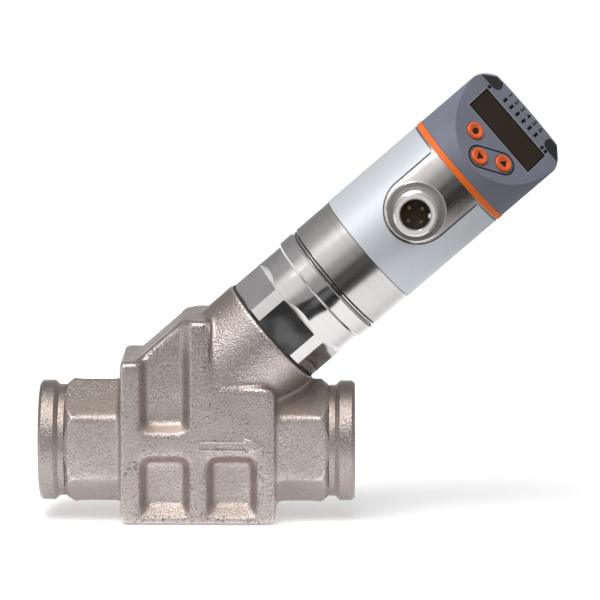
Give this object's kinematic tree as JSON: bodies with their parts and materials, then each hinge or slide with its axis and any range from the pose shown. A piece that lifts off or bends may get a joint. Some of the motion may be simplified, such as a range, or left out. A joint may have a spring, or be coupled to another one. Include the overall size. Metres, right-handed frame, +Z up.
{
  "type": "flow sensor",
  "caption": "In-line flow sensor: cast metal body with threaded pipe ends and an angled branch that carries a round steel head with a slanted display, keys and a plug connector.",
  "frame": {"origin": "centre of the inlet port's face, on the pipe's axis", "axes": "+X along the pipe with the flow, +Z up on the head's side, -Y towards the viewer of the display and plug"},
  "size_m": [0.1429, 0.0442, 0.1227],
  "materials": {
    "cast_body": "satin",
    "steel": "brushed",
    "inner_steel": "satin",
    "seal": "matt",
    "magnet": "satin",
    "spring_steel": "satin",
    "slide_plastic": "matt",
    "label": "satin",
    "orange": "satin",
    "grey_cover": "fine grain",
    "window": "gloss",
    "indicator": "gloss",
    "lens": "textured",
    "key": "satin",
    "board": "satin",
    "frame_plastic": "matt",
    "insulator": "satin",
    "gold": "gilded"
  },
  "bodies": {
    "valve": {"valve_body": "cast_body", "seat_ring": "inner_steel", "seat_seal": "seal", "return_spring": "spring_steel", "stem_guide": "slide_plastic", "separating_tube": "inner_steel", "tube_seal": "seal", "screw_fitting": "steel", "fitting_seal": "seal", "collar_ring": "steel", "slide_ring": "slide_plastic", "circlip": "spring_steel"},
    "piston": {"piston": "inner_steel", "piston_magnet": "magnet", "magnet_nut": "inner_steel"},
    "head": {"base_plate": "steel", "housing_shell": "steel", "label_film": "label", "seal_ring": "orange", "head_cover": "grey_cover", "display_window": "window", "display_module": "frame_plastic", "led_windows": "indicator", "status_lens_left": "lens", "status_lens_right": "lens", "button_switches": "frame_plastic", "display_board": "board", "board_frame": "frame_plastic", "main_board": "board", "hall_sensor": "frame_plastic", "plug_shell": "steel", "plug_clamp": "frame_plastic", "plug_nut": "inner_steel", "contact_carrier": "insulator", "contact_pins": "gold", "plug_board": "board", "board_link": "frame_plastic"},
    "enter_key": {"button_enter": "key"},
    "down_key": {"button_down": "key"},
    "up_key": {"button_up": "key"}
  },
  "joints": [
    {"name": "piston_lift", "type": "slide", "parent": "valve", "child": "piston", "axis": [0.7547, 0, 0.6561], "range_m": [0, 0.009], "stiffness_N_per_m": 60, "springref_m": -0.006, "deforming": ["return_spring"]},
    {"name": "head_turn", "type": "hinge", "parent": "valve", "child": "head", "pos_m": [0.029, 0, 0], "axis": [0.7547, 0, 0.6561], "range_deg": [-170, 170]},
    {"name": "button_enter_press", "type": "slide", "parent": "head", "child": "enter_key", "axis": [-0.5134, 0.7064, -0.4872], "range_m": [0, 0.0006], "stiffness_N_per_m": 400, "springref_m": -0.0005},
    {"name": "button_down_press", "type": "slide", "parent": "head", "child": "down_key", "axis": [-0.5134, 0.7064, -0.4872], "range_m": [0, 0.0006], "stiffness_N_per_m": 400, "springref_m": -0.0005},
    {"name": "button_up_press", "type": "slide", "parent": "head", "child": "up_key", "axis": [-0.5134, 0.7064, -0.4872], "range_m": [0, 0.0006], "stiffness_N_per_m": 400, "springref_m": -0.0005}
  ]
}
